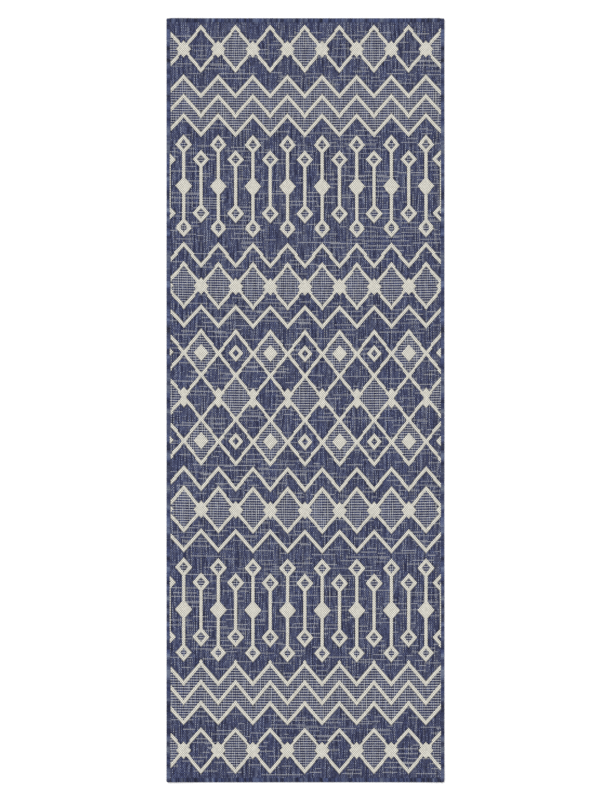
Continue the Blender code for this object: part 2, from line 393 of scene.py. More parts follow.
def newGroup(name, inputs, outputs):
    tree = bpy.data.node_groups.new(name, "ShaderNodeTree")
    for socketName, start in inputs.items():
        socket = tree.interface.new_socket(socketName, in_out="INPUT", socket_type="NodeSocketFloat")
        socket.default_value = start
    for socketName, kind in outputs.items():
        tree.interface.new_socket(socketName, in_out="OUTPUT", socket_type="NodeSocket" + kind)
    return tree, tree.nodes.new("NodeGroupInput").outputs, tree.nodes.new("NodeGroupOutput").inputs


def useGroup(tree, group, **inputs):
    used = addNode(tree, "Group", node_tree=group)
    fillSockets(tree, used, inputs)
    return used.outputs


# dye colours are given as they should look on screen under the studio light
lightLevel = 1.30


def dye(red, green, blue):
    def toLinear(value):
        share = value / 255
        return share / 12.92 if share <= 0.04045 else ((share + 0.055) / 1.055) ** 2.4
    return tuple(toLinear(value) / lightLevel for value in (red, green, blue)) + (1.0,)


# a space-dyed yarn: its tone drifts along its own length and starts anew on the next yarn
def makeDyedYarn():
    tree, given, out = newGroup(
        "dyedYarn",
        {"Yarn": 0.0, "Along": 0.0, "DyeLength": 10.0, "Batch": 0.0},
        {"Tone": "Float", "Knot": "Float"},
    )
    lane = calc(tree, "MULTIPLY_ADD", given["Yarn"], 7.37, given["Batch"])
    spot = calc(tree, "DIVIDE", given["Along"], given["DyeLength"])
    where = addNode(tree, "CombineXYZ", {"X": lane, "Y": spot}).outputs[0]
    drift = addNode(tree, "TexNoise", {"Vector": where, "Scale": 1.0, "Detail": 1.5}, noise_dimensions="2D")
    tree.links.new(remap(tree, drift.outputs["Fac"], 0.25, 0.75, 0.0, 1.0), out["Tone"])
    step = calc(tree, "FLOOR", given["Along"])
    cell = addNode(tree, "CombineXYZ", {"X": lane, "Y": step}).outputs[0]
    knot = addNode(tree, "TexWhiteNoise", {"Vector": cell}, noise_dimensions="2D")
    tree.links.new(knot.outputs["Value"], out["Knot"])
    return tree


# the range of blues that the navy yarn was dyed in, from a dusky dye bath to a clear blue one
def makeNavyDye():
    tree, given, out = newGroup("navyDye", {"Tone": 0.5, "Bath": 0.5}, {"Color": "Color"})
    ramp = addNode(tree, "ValToRGB", {"Fac": given["Tone"]})
    shades = [
        (0.00, dye(22, 24, 48)),
        (0.25, dye(50, 54, 87)),
        (0.50, dye(80, 86, 119)),
        (0.75, dye(116, 122, 146)),
        (1.00, dye(168, 171, 178)),
    ]
    stops = ramp.color_ramp.elements
    stops[0].position, stops[0].color = shades[0]
    stops[1].position, stops[1].color = shades[-1]
    for position, colour in shades[1:-1]:
        stops.new(position).color = colour
    dusky = blendColour(tree, 1.0, ramp.outputs["Color"], (1.06, 1.00, 0.85, 1.0), "MULTIPLY")
    clear = blendColour(tree, 1.0, ramp.outputs["Color"], (0.92, 1.00, 1.22, 1.0), "MULTIPLY")
    tree.links.new(blendColour(tree, given["Bath"], dusky, clear), out["Color"])
    return tree


# fine fibres lying along the yarn
def makeFibres():
    outputs = {"Shade": "Float", "Height": "Float"}
    tree, given, out = newGroup("fibres", {"Scale": 900.0, "Stretch": 0.3}, outputs)
    spot = addNode(tree, "TexCoord").outputs["Object"]
    shape = addNode(tree, "CombineXYZ", {"X": given["Stretch"], "Y": 1.0, "Z": 1.0}).outputs[0]
    drawn = addNode(tree, "VectorMath", {0: spot, 1: shape}, operation="MULTIPLY").outputs[0]
    settings = {"Vector": drawn, "Scale": given["Scale"], "Detail": 2.0, "Roughness": 0.7}
    fuzz = addNode(tree, "TexNoise", settings)
    tree.links.new(remap(tree, fuzz.outputs["Fac"], 0.3, 0.7, 0.0, 1.0), out["Shade"])
    tree.links.new(fuzz.outputs["Fac"], out["Height"])
    return tree


# where a spot lies in the weave: its yarns' numbers, which yarn is on top, how round that yarn stands there,
# the soft chessboard that the floats make, and the twist of the plies on them
def makeCrossings():
    outputs = {name: "Float" for name in ("Column", "Row", "WarpOver", "Round", "Board", "Ply")}
    tree, given, out = newGroup("crossings", {"U": 0.0, "V": 0.0, "Plies": 3.0, "Twist": 0.8}, outputs)
    column = calc(tree, "FLOOR", given["U"])
    row = calc(tree, "FLOOR", given["V"])
    odd = calc(tree, "ABSOLUTE", calc(tree, "MODULO", calc(tree, "ADD", column, row), 2.0))
    tree.links.new(column, out["Column"])
    tree.links.new(row, out["Row"])
    warpOver = calc(tree, "SUBTRACT", 1.0, odd)
    tree.links.new(warpOver, out["WarpOver"])
    shareU, shareV = (calc(tree, "FRACT", given[axis]) for axis in "UV")
    arches = [calc(tree, "SINE", calc(tree, "MULTIPLY", share, math.pi)) for share in (shareU, shareV)]
    stands = calc(tree, "MULTIPLY", arches[0], arches[1])
    tree.links.new(stands, out["Round"])
    side = calc(tree, "MULTIPLY_ADD", warpOver, 2.0, -1.0)
    tree.links.new(calc(tree, "MULTIPLY", stands, side), out["Board"])
    across = calc(tree, "MULTIPLY_ADD", warpOver, calc(tree, "SUBTRACT", shareU, shareV), shareV)
    along = calc(tree, "MULTIPLY_ADD", warpOver, calc(tree, "SUBTRACT", shareV, shareU), shareU)
    turn = calc(tree, "MULTIPLY_ADD", across, given["Plies"], calc(tree, "MULTIPLY", along, given["Twist"]))
    ply = calc(tree, "SINE", calc(tree, "MULTIPLY", turn, 2 * math.pi))
    tree.links.new(calc(tree, "MULTIPLY_ADD", ply, 0.5, 0.5), out["Ply"])
    return tree


dyedYarn = makeDyedYarn()
navyDye = makeNavyDye()
fibres = makeFibres()
crossings = makeCrossings()
print("node groups made:", len(bpy.data.node_groups))


# what all the yarns have in common
yarnFinish = {
    "specular": 0.25,
    "sheenRoughness": 0.6,
}


def newMaterial(name, look):
    made = bpy.data.materials.new(name)
    made.use_nodes = True
    shader = made.node_tree.nodes["Principled BSDF"]
    shader.inputs["Specular IOR Level"].default_value = yarnFinish["specular"]
    shader.inputs["Sheen Weight"].default_value = look["sheen"]
    shader.inputs["Sheen Roughness"].default_value = yarnFinish["sheenRoughness"]
    shader.inputs["Sheen Tint"].default_value = look["sheenTint"]
    return made, made.node_tree, shader


def weaveSpot(tree):
    spot = addNode(tree, "UVMap", uv_map="weave").outputs[0]
    parts = addNode(tree, "SeparateXYZ", {0: spot}).outputs
    return parts["X"], parts["Y"]


# every yarn ends with its fibres, which darken, roughen and raise it; roundness adds the yarn's own bulge
def finishWithFibres(tree, shader, look, colour, roundness=None):
    fuzz = useGroup(tree, fibres, Scale=look["fibreScale"], Stretch=look["fibreStretch"])
    depth = remap(tree, fuzz["Shade"], 0, 1, look["fibreShade"], 0.0)
    tree.links.new(blendColour(tree, depth, colour, look["betweenFibres"]), shader.inputs["Base Color"])
    tree.links.new(remap(tree, fuzz["Shade"], 0, 1, *look["roughness"]), shader.inputs["Roughness"])
    height = fuzz["Height"]
    if roundness is not None:
        height = calc(tree, "MULTIPLY_ADD", height, look["fibreHeight"], roundness)
    settings = {"Height": height, "Distance": look["relief"], "Strength": look["bumpStrength"]}
    bump = addNode(tree, "Bump", settings)
    tree.links.new(bump.outputs["Normal"], shader.inputs["Normal"])


def dyeAlong(tree, yarn, along, length, batch):
    return useGroup(tree, dyedYarn, Yarn=yarn, Along=along, DyeLength=length, Batch=batch)


def weigh(tree, middle, *weights):
    total = middle
    for value, contrast in weights:
        total = calc(tree, "MULTIPLY_ADD", calc(tree, "SUBTRACT", value, 0.5), contrast, total)
    return total


def painted(tree, name):
    return addNode(tree, "Attribute", attribute_name=name).outputs["Fac"]


groundLook = {
    "roughness": (0.80, 0.95),
    "sheen": 0.04,
    "sheenTint": dye(150, 158, 190),
    "warpRows": 14.0,        # how many rows a warp yarn keeps its tone
    "longWarpRows": 80.0,
    "weftColumns": 9.0,      # how many columns a weft yarn keeps its tone
    "warpBatch": 3.1,        # another batch number gives another run of tones
    "longWarpBatch": 811.7,
    "weftBatch": 2304.3,
    "warpMiddle": 0.615,
    "weftMiddle": 0.30,
    "warpContrast": 0.80,
    "longWarpContrast": 0.45,
    "crowding": 0.40,        # share of its neighbour's tone that a warp yarn loses, as it hides behind it
    "weftContrast": 0.26,
    "weftFollowsWarp": 0.60,
    "knotContrast": 0.36,
    "darkRows": 130.0,       # the first rows, at the bottom end, are set darker
    "darkerBy": -0.06,
    "bathByColumn": 0.5,     # what moves the blue between dusky and clear
    "bathByKnot": 0.7,
    "bathByPatch": 0.4,
    "patchScale": 6.0,
    "pinched": -0.24,        # painted shade on the ground along the figures, where the cream yarn stands over it
    "lift": (1.36, 1.36, 1.36, 1.0),     # makes up for the light that the painted pit shade between the yarns takes away
    # painted shade in the pits at the edges of each cell
    "pitShadeStrength": 0.78,
    "pitShadeWidth": 0.80,
    "pitShadeColour": dye(22, 24, 46),
    # painted shade in the grooves between the plies of each yarn
    "plyGrooveShade": 0.20,
    "plyGrooveShadeColour": dye(40, 43, 74),
    "fibreScale": 1100.0,
    "fibreStretch": 1.6,
    "fibreShade": 0.14,
    "fibreHeight": 0.35,
    "betweenFibres": dye(30, 32, 60),
    "relief": 0.0008,
    "bumpStrength": 0.6,
}


def groundWarp(tree, kind, column, v):
    return dyeAlong(tree, column, v, groundLook[f"{kind}Rows"], groundLook[f"{kind}Batch"])


def makeGroundMaterial():
    look = groundLook
    made, tree, shader = newMaterial("navySlubCloth", look)
    u, v = weaveSpot(tree)
    cross = useGroup(tree, crossings, U=u, V=v)
    warp, longWarp = (groundWarp(tree, kind, cross["Column"], v) for kind in ("warp", "longWarp"))
    nextYarn = calc(tree, "ADD", cross["Column"], 1.0)
    nextWarp, nextLong = (groundWarp(tree, kind, nextYarn, v) for kind in ("warp", "longWarp"))
    weft = dyeAlong(tree, cross["Row"], u, look["weftColumns"], look["weftBatch"])
    warpTones = [
        (warp["Tone"], look["warpContrast"]),
        (longWarp["Tone"], look["longWarpContrast"]),
        (nextWarp["Tone"], -look["crowding"] * look["warpContrast"]),
        (nextLong["Tone"], -look["crowding"] * look["longWarpContrast"]),
    ]
    spot = addNode(tree, "TexCoord").outputs["Object"]
    patches = addNode(tree, "TexNoise", {"Vector": spot, "Scale": look["patchScale"], "Detail": 2.0})
    warpTone = weigh(tree, look["warpMiddle"], *warpTones, (warp["Knot"], look["knotContrast"]))
    weftTone = weigh(
        tree,
        look["weftMiddle"],
        (weft["Tone"], look["weftContrast"]),
        (weft["Knot"], look["knotContrast"]),
        *[(tone, contrast * look["weftFollowsWarp"]) for tone, contrast in warpTones],
    )
    onTop = addNode(tree, "Mix", {0: cross["WarpOver"], 2: weftTone, 3: warpTone}, data_type="FLOAT")
    # painted shade: beside the figures, a little between hatched rows, and most at the rim
    tone = calc(tree, "MULTIPLY_ADD", painted(tree, "pinched"), look["pinched"], onTop.outputs[0])
    tone = calc(tree, "ADD", tone, remap(tree, v, 0.0, look["darkRows"], look["darkerBy"], 0.0))
    bath = addNode(tree, "TexWhiteNoise", {"W": cross["Column"]}, noise_dimensions="1D").outputs["Value"]
    bath = weigh(
        tree,
        0.5,
        (bath, look["bathByColumn"]),
        (warp["Knot"], look["bathByKnot"]),
        (patches.outputs["Fac"], look["bathByPatch"]),
    )
    colour = useGroup(tree, navyDye, Tone=tone, Bath=bath)["Color"]
    colour = blendColour(tree, 1.0, colour, look["lift"], "MULTIPLY")
    # painted shade in the grooves between the plies
    ply = calc(tree, "MULTIPLY", cross["Ply"], look["plyGrooveShade"])
    colour = blendColour(tree, ply, colour, look["plyGrooveShadeColour"])
    # painted shade in the pits between the crossings
    pit = remap(tree, cross["Round"], 0.0, look["pitShadeWidth"], look["pitShadeStrength"], 0.0)
    colour = blendColour(tree, pit, colour, look["pitShadeColour"])
    finishWithFibres(tree, shader, look, colour, cross["Round"])
    return made


figureLook = {
    "roughness": (0.75, 0.9),
    "sheen": 0.06,
    "sheenTint": dye(235, 232, 225),
    "crestFrom": (-0.55, 0.25),          # over this range of the soft chessboard the binding turns to crest: painted light on each float's top, and painted shade with the binding yarn in the recesses
    "crest": dye(270, 268, 256),
    "bindingAndShade": dye(150, 149, 141),
    # darker yarns and knots at random, and painted shade in the grooves between the plies
    "darkYarnAndShade": dye(112, 112, 108),
    "warmth": dye(236, 218, 190),
    "knotSpread": 0.24,
    "yarnSpread": 0.13,
    "yarnRows": 7.0,
    "yarnBatch": 51.9,
    "warmthSpread": 0.16,
    "warmthColumns": 3.0,
    "warmthBatch": 933.0,
    # painted shade in the grooves between the plies
    "plyGrooveShade": 0.14,
    "fibreScale": 1200.0,
    "fibreStretch": 1.4,
    "fibreShade": 0.10,
    "fibreHeight": 0.5,
    "betweenFibres": dye(112, 112, 108),
    "relief": 0.0003,
    "bumpStrength": 0.5,
}


def makeFigureMaterial():
    look = figureLook
    made, tree, shader = newMaterial("creamFigureYarn", look)
    u, v = weaveSpot(tree)
    cross = useGroup(tree, crossings, U=u, V=v)
    yarn = dyeAlong(tree, cross["Column"], v, look["yarnRows"], look["yarnBatch"])
    # painted light and shade over each float: lighter at its crest, darker in the recesses round it
    isCrest = remap(tree, cross["Board"], *look["crestFrom"], 0.0, 1.0)
    colour = blendColour(tree, isCrest, look["bindingAndShade"], look["crest"])
    # darker yarns and knots at random
    darkerYarnBy = calc(tree, "MULTIPLY", yarn["Tone"], look["yarnSpread"])
    darkerYarnBy = calc(tree, "MULTIPLY_ADD", yarn["Knot"], look["knotSpread"], darkerYarnBy)
    colour = blendColour(tree, darkerYarnBy, colour, look["darkYarnAndShade"])
    warm = dyeAlong(tree, cross["Row"], u, look["warmthColumns"], look["warmthBatch"])
    warmBy = calc(tree, "MULTIPLY", warm["Knot"], look["warmthSpread"])
    colour = blendColour(tree, warmBy, colour, look["warmth"])
    # painted shade in the grooves between the plies
    ply = calc(tree, "MULTIPLY", cross["Ply"], look["plyGrooveShade"])
    colour = blendColour(tree, ply, colour, look["darkYarnAndShade"])
    finishWithFibres(tree, shader, look, colour, cross["Round"])
    return made


paleWeftLook = {
    "roughness": (0.78, 0.92),
    "sheen": 0.05,
    "sheenTint": dye(210, 212, 220),
    "pale": dye(240, 240, 238),
    "faint": dye(140, 144, 158),
    # the navy warp that covers the weft, also the colour of the painted shade at the cell edges
    "sunk": dye(72, 76, 104),
    "yarnColumns": 6.0,
    "yarnBatch": 77.0,
    "knotContrast": 0.16,
    "underWarp": 0.22,       # how far the navy warp darkens the cells where it passes over
    "underDarkWarp": 0.22,   # and how much further where that warp yarn is dark
    "underShadow": 0.35,
    "shadowWidth": 0.6,
    "fibreScale": 1100.0,
    "fibreStretch": 0.4,
    "fibreShade": 0.12,
    "betweenFibres": dye(60, 62, 84),
    "relief": 0.0003,
    "bumpStrength": 0.5,
}


def makePaleWeftMaterial():
    look = paleWeftLook
    made, tree, shader = newMaterial("paleWeftYarn", look)
    u, v = weaveSpot(tree)
    cross = useGroup(tree, crossings, U=u, V=v)
    warp = groundWarp(tree, "warp", cross["Column"], v)
    yarn = dyeAlong(tree, cross["Row"], u, look["yarnColumns"], look["yarnBatch"])
    colour = blendColour(tree, painted(tree, "strength"), look["faint"], look["pale"])
    cover = calc(tree, "MULTIPLY", cross["WarpOver"], look["underWarp"])
    darkWarp = calc(tree, "SUBTRACT", 1.0, warp["Tone"])
    cover = calc(tree, "MULTIPLY_ADD", darkWarp, look["underDarkWarp"], cover)
    cover = calc(tree, "MULTIPLY_ADD", calc(tree, "SUBTRACT", yarn["Knot"], 0.5), look["knotContrast"], cover)
    colour = blendColour(tree, cover, colour, look["sunk"])
    # painted shade at the edges of each cell
    edge = remap(tree, cross["Round"], 0.0, look["shadowWidth"], look["underShadow"], 0.0)
    colour = blendColour(tree, edge, colour, look["sunk"])
    finishWithFibres(tree, shader, look, colour)
    return made


edgeLook = {
    # each run of sewing: how many turns a colour lasts, and how pale it is set; the bottom run is set darker
    # than the top
    "side": (9.0, 0.43),
    "top": (3.0, 0.375),
    "bottom": (3.0, 0.33),
    "roughness": (0.6, 0.8),
    "sheen": 0.08,
    "sheenTint": dye(150, 158, 190),
    "dyeContrast": 0.68,
    "knotContrast": 0.22,
    "yarnBatch": 17.3,
    "bathBatch": 411.3,
    "bathLasts": 1.7,        # times as long as a colour
    "tint": (0.95, 1.03, 1.06, 1.0),
    "fibreScale": 1000.0,
    "fibreStretch": 0.5,
    "fibreShade": 0.2,
    "betweenFibres": dye(28, 30, 56),
    "relief": 0.0003,
    "bumpStrength": 0.5,
}


def makeEdgeMaterial(run):
    look = edgeLook
    turnsPerDye, toneMiddle = look[run]
    made, tree, shader = newMaterial(f"navy{run.capitalize()}Overcast", look)
    turn = calc(tree, "FLOOR", weaveSpot(tree)[0])
    yarn = dyeAlong(tree, 0.0, turn, turnsPerDye, look["yarnBatch"])
    tone = weigh(tree, toneMiddle, (yarn["Tone"], look["dyeContrast"]), (yarn["Knot"], look["knotContrast"]))
    bath = dyeAlong(tree, 0.0, turn, turnsPerDye * look["bathLasts"], look["bathBatch"])
    colour = useGroup(tree, navyDye, Tone=tone, Bath=bath["Tone"])["Color"]
    colour = blendColour(tree, 1.0, colour, look["tint"], "MULTIPLY")
    finishWithFibres(tree, shader, look, colour)
    return made


groundMaterial = makeGroundMaterial()
figureMaterial = makeFigureMaterial()
paleWeftMaterial = makePaleWeftMaterial()
edgeMaterials = {run: makeEdgeMaterial(run) for run in ("side", "top", "bottom")}
print("materials made:", len(bpy.data.materials))


# ground cloth: one closed sheet with a woven face and a plain back, flat out to the rim, so that from below
# it covers all but the outer edge of the overcasting
cloth = {
    "warpRise": 0.00019,     # where the warp passes over; the weft sinks as far
    "backSteps": (6, 5, 4, 3, 2),        # face cells to one cell of the back: the first that divides evenly
    "rimInset": 0.0012,      # from the rug's edge, inside the sewing
    "rimShade": 2.5,         # the rim is shaded this many times as much as the cells beside a figure
    "columnMargin": 0.001,   # no column is nearer than this to the sewing
}


def backStep(edges):
    return next((step for step in cloth["backSteps"] if edges % step == 0), 1)


def gridFaces(number, facingDown=False):
    corners = [number[:-1, :-1], number[:-1, 1:], number[1:, 1:], number[1:, :-1]]
    if facingDown:
        corners[1:] = corners[:0:-1]
    return np.stack(corners, -1).reshape(-1, 4).tolist()


# the narrow wall between the face and the coarser back, all round
def rimFaces(number, under, stepX, stepY):
    faces = []
    for topEdge, underEdge, step, flip in (
        (number[0], under[0], stepX, False),
        (number[-1], under[-1], stepX, True),
        (number[:, 0], under[:, 0], stepY, True),
        (number[:, -1], under[:, -1], stepY, False),
    ):
        for k in range(len(underEdge) - 1):
            wall = [underEdge[k], underEdge[k + 1]] + topEdge[k * step:(k + 1) * step + 1][::-1].tolist()
            faces.append([int(i) for i in (wall[::-1] if flip else wall)])
    return faces


# how much each point is shaded: the cells beside a figure, a little between hatched rows, and most at the rim
def paintedShadeAt(shape, backShape, inner):
    grown = allFigures.copy()
    grown[1:] |= allFigures[:-1]
    grown[:-1] |= allFigures[1:]
    grown[:, 1:] |= allFigures[:, :-1]
    grown[:, :-1] |= allFigures[:, 1:]
    between = allHatches & (rowIndex % 2 != hatchLook["phase"])
    face = np.full(shape, cloth["rimShade"])
    face[1:-1, 1:-1] = 0.0
    start = int(inner[0]) - firstColumn
    face[2:-2, 2:-2] = np.maximum(grown, hatchLook["betweenRows"] * between)[:, start:start + len(inner)]
    back = np.full(backShape, cloth["rimShade"])
    back[1:-1, 1:-1] = 0.0
    return np.append(face, back)


def makeGroundCloth():
    inset, margin = cloth["rimInset"], cloth["columnMargin"]
    across = patternX + columnIndex[0] * columnWidth
    inner = columnIndex[0][(across > fieldLow + margin) & (across < fieldHigh - margin)]
    sides = [(x - patternX) / columnWidth for x in (rugLow.x + inset, fieldLow, fieldHigh, rugHigh.x - inset)]
    us = np.concatenate([sides[:2], inner, sides[2:]])
    rim = (rugHigh.y - endHigh - inset) / rowHeight
    vs = np.concatenate([[-rim, 0.0], np.arange(rowCount) + 0.5, [rowCount, rowCount + rim]])
    uGrid, vGrid = np.meshgrid(us, vs)
    isWarp = (np.floor(uGrid + 0.5) + np.floor(vGrid)) % 2 == 0
    z = groundTop + cloth["warpRise"] * np.where(isWarp, 1, -1)
    z[[0, -1], :] = z[:, [0, -1]] = groundTop - loom["rimDrop"]
    number = np.arange(z.size).reshape(z.shape)
    stepX, stepY = backStep(len(us) - 1), backStep(len(vs) - 1)
    backU, backV = uGrid[::stepY, ::stepX], vGrid[::stepY, ::stepX]
    under = z.size + np.arange(backU.size).reshape(backU.shape)
    faces = gridFaces(number) + gridFaces(under, facingDown=True) + rimFaces(number, under, stepX, stepY)
    face, back = place(uGrid, vGrid, z).reshape(-1, 3), place(backU, backV, 0.0).reshape(-1, 3)
    weave = np.stack([np.append(uGrid, backU), np.append(vGrid, backV)], -1) + (0.5, 0.0)
    sheets = {"weave": weave, "pinched": paintedShadeAt(z.shape, backU.shape, inner)}
    return meshObject("woven_ground_cloth", np.concatenate([face, back]), faces, groundMaterial, sheets, 2)


groundCloth = makeGroundCloth()
print("ground cloth woven:", len(groundCloth.data.polygons), "faces")


# figures: cream warp floats over the ground, and rises to a pip in every second cell
floatShape = {
    "base": -0.0004,         # all from the top of the ground cloth
    "edge": 0.00045,
    "valley": 0.00072,
    "crest": 0.00112,
    "crestVariation": 0.00008,
}


def weaveFigure(name, mask):
    rows, columns = np.nonzero(mask)
    width = columnCount + 2
    lowerLeft = rows * width + columns
    corners = np.stack([lowerLeft, lowerLeft + 1, lowerLeft + width + 1, lowerLeft + width], -1)
    used, local, touching = np.unique(corners, return_inverse=True, return_counts=True)
    local = local.reshape(corners.shape)
    cornerU, cornerV = used % width + firstColumn - 0.5, used // width
    cornerZ = groundTop + np.where(touching == 4, floatShape["valley"], floatShape["edge"])
    raised = warpOver[rows, columns]
    chance = np.random.default_rng(len(name) + len(rows))
    crestZ = floatShape["crest"] + floatShape["crestVariation"] * chance.uniform(-1, 1, raised.sum())
    middleU = columns[raised] + float(firstColumn)
    middleV = rows[raised] + 0.5
    top = place(cornerU, cornerV, cornerZ)
    middle = place(middleU, middleV, groundTop + crestZ)
    base = place(cornerU, cornerV, groundTop + floatShape["base"])
    middleAt = len(used) + np.arange(raised.sum())
    baseAt = local + len(used) + len(middle)
    faces = local[~raised].tolist()
    for k in range(4):
        faces += np.stack([local[raised, k], local[raised, (k + 1) % 4], middleAt], -1).tolist()
    faces += baseAt[:, ::-1].tolist()
    taken = set(lowerLeft.tolist())
    for k, step in enumerate((-width, 1, width, -1)):
        bare = [cell + step not in taken for cell in lowerLeft.tolist()]
        after = (k + 1) % 4
        wall = [baseAt[bare, k], baseAt[bare, after], local[bare, after], local[bare, k]]
        faces += np.stack(wall, -1).tolist()
    spots = [np.concatenate(parts) for parts in ((cornerU, middleU, cornerU), (cornerV, middleV, cornerV))]
    weave = np.stack(spots, -1) + (0.5, 0.0)
    return meshObject(name, np.concatenate([top, middle, base]), faces, figureMaterial, {"weave": weave})


figures = {}
for node, mask in figureCells.items():
    figures[node] = weaveFigure(f"woven_{node}", mask)
print("figures woven:", len(figures), "with", sum(len(f.data.polygons) for f in figures.values()), "faces")


# pale weft yarn: runs of one row each, as hatching inside figures and as loose slubs in the ground
paleRun = {
    "sunk": -0.0003,         # from the top of the ground cloth
    "crest": 0.00050,
    "dip": 0.00026,
    "halfWidth": 0.46,       # of a row
}


def layRuns(name, runs):
    points, faces, strength = [], [], []
    for row, start, end, tone in runs:
        stations = [start - 0.5, *range(start, end), end - 0.5]
        for k, u in enumerate(stations):
            isCrest = 0 < k < len(stations) - 1 and (u + row) % 2 == 1
            high = paleRun["crest"] if isCrest else paleRun["dip"]
            first = len(points)
            for side, height in ((-1, paleRun["sunk"]), (0, high), (1, paleRun["sunk"])):
                points.append((u, row + 0.5 + side * paleRun["halfWidth"], groundTop + height))
                strength.append(tone)
            if k:
                last = first - 3
                faces.append((last, first, first + 1, last + 1))
                faces.append((last + 1, first + 1, first + 2, last + 2))
                faces.append((last + 2, first + 2, first, last))
        begin = first - 3 * (len(stations) - 1)
        faces.append((begin, begin + 1, begin + 2))
        faces.append((first + 2, first + 1, first))
    points = np.array(points)
    sheets = {"weave": points[:, :2] + (0.5, 0.0), "strength": np.array(strength)}
    placed = place(points[:, 0], points[:, 1], points[:, 2])
    return meshObject(name, placed, faces, paleWeftMaterial, sheets, 2)


def runsIn(area, row):
    ends = np.flatnonzero(np.diff(np.concatenate([[0], area[row].astype(int), [0]])))
    return [(int(a) + firstColumn, int(b) + firstColumn) for a, b in zip(ends[::2], ends[1::2])]


def layHatch(name, area):
    chance = np.random.default_rng(hatchLook["seed"])
    runs = []
    for row in range(hatchLook["phase"], rowCount, 2):
        for start, end in runsIn(area, row):
            tone = hatchLook["tone"] + hatchLook["toneSpread"] * chance.uniform(-1, 1)
            runs.append((row, start, end, tone))
    return layRuns(name, runs)


hatching = {name: layHatch(name, area) for name, area in hatches.items()}
print("hatching laid:", len(hatching))


slubs = {
    "seed": 23,
    "count": 1000,
    "shortest": 5,           # in columns
    "longest": 46,
    "lengthOdds": (1.3, 3.0),            # beta distributions: most are short
    "faintest": 0.20,
    "toneSpread": 0.40,
    "toneOdds": (1.6, 1.4),
    "groupChance": 0.20,
    "groupLines": (2, 3),
    "lineGap": 4,            # rows between the lines of a group
    "lineShift": 4,          # columns that a line starts before or after the first one
    "fewestColumns": 3,      # what is left of a slub beside a figure is dropped under this
    "bareRows": 2,           # at each end of the rug
    # start and step as shares of the rug: such steps spread the slubs evenly, so that they seldom bunch up
    "rowSteps": (0.3, 0.7548777),
    "columnSteps": (0.6, 0.5698403),
}


def laySlubs():
    chance = np.random.default_rng(slubs["seed"])
    bare, gap, shift = slubs["bareRows"], slubs["lineGap"], slubs["lineShift"]
    (rowStart, rowStep), (columnStart, columnStep) = slubs["rowSteps"], slubs["columnSteps"]
    fewest, most = slubs["groupLines"]
    blocked = allFigures | allHatches
    blocked[:bare] = blocked[-bare:] = True
    runs = []
    for number in range(slubs["count"]):
        row = bare + int((rowStart + number * rowStep) % 1 * (rowCount - bare - 2 * gap))
        start = int((columnStart + number * columnStep) % 1 * columnCount) - shift
        longer = slubs["longest"] - slubs["shortest"]
        length = int(slubs["shortest"] + longer * chance.beta(*slubs["lengthOdds"]))
        tone = float(slubs["faintest"] + slubs["toneSpread"] * chance.beta(*slubs["toneOdds"]))
        lines = int(chance.integers(fewest, most + 1)) if chance.random() < slubs["groupChance"] else 1
        for line in range(lines):
            here = row + gap * line
            if here >= rowCount - bare:
                break
            a = max(0, start + int(chance.integers(-shift, shift + 1)) * (line > 0))
            b = min(columnCount, a + length)
            free = np.zeros((1, columnCount), bool)
            free[0, a:b] = ~blocked[here, a:b]
            for uStart, uEnd in runsIn(free, 0):
                if uEnd - uStart >= slubs["fewestColumns"]:
                    runs.append((here, uStart, uEnd, tone))
            blocked[here, a:b] = True
    return layRuns("loose_weft_slubs", runs)


weftSlubs = laySlubs()
print("slubs laid:", len(weftSlubs.data.polygons), "faces")


# overcasting: along each edge, one continuous yarn wound round the rim
overcast = {
    "pitch": 0.0028,
    "yarnHalfThickness": 0.00042,
    "yarnHalfWidth": 0.0015,
    "sides": 5,
    "slant": 0.35,           # share of a turn that the top pass leans forward
    "cornerRounding": 0.006,
    "wobble": 0.0003,
    "stitchDepth": 0.0003,   # a turn comes out of the cloth from this far under its face
    "stitchHeight": 0.0016,  # and ends back inside it, this high over the floor
    "stitchBend": 0.0013,    # from the line of stitches to where the yarn lies flat
    "rimBend": 0.0015,       # from the rug's edge, where it starts to go round the rim
    "rimStraight": 0.0005,   # where it stands upright there
    "overRim": 0.0014,       # the upright stretch starts this far under the top pass
    "underRim": 0.0012,      # and ends this far over the lower pass
    "standBack": 0.0001,     # the flat stretches stay this far inside the rug's full thickness
    "seed": 41,
}


# one turn, as inset from the rug's edge, height, share of the turn, and the yarn's outward direction there
def turnOfYarn(width):
    top = rugHigh.z - overcast["yarnHalfThickness"]
    bottom = overcast["yarnHalfThickness"]
    slant, back, rim = overcast["slant"], overcast["standBack"], overcast["rimStraight"]
    flatFrom = width - overcast["stitchBend"]
    return [
        (width, groundTop - overcast["stitchDepth"], 0.00, 0),
        (flatFrom, top - back, 0.06, 73),
        (overcast["rimBend"], top - 1.5 * back, slant, 112),
        (rim, top - overcast["overRim"], slant + 0.04, 163),
        (rim, bottom + overcast["underRim"], slant + 0.10, 197),
        (overcast["rimBend"], bottom + back, slant + 0.14, 248),
        (flatFrom, bottom + back, 0.90, 287),
        (width, overcast["stitchHeight"], 0.96, 360),
    ]


# the rug's corners are round, so the first and last turns of a long edge are pulled in
def pulledIn(fromEnd):
    radius = overcast["cornerRounding"]
    if fromEnd >= radius:
        return 0.0
    return radius - math.sqrt(max(0.0, radius * radius - (radius - fromEnd) ** 2))


# for baking: the yarn is cut into equal lengths, laid side by side with a little room round each
def woundLayout(ring, side, turns, rings):
    sides = overcast["sides"]
    lanes = int(math.sqrt(turns))
    perLane = math.ceil((rings - 1) / lanes)
    lane = ring // perLane
    along = np.stack([ring, ring + 1, ring + 1, ring], -1) - (lane * perLane)[:, None]
    about = np.stack([side, side, side + 1, side + 1], -1) / sides
    layout = np.stack([along / perLane * 0.98 + 0.01, (lane[:, None] + 0.03 + about * 0.94) / lanes], -1)
    return np.concatenate([layout.reshape(-1, 2), np.full((2 * sides, 2), 0.005)])


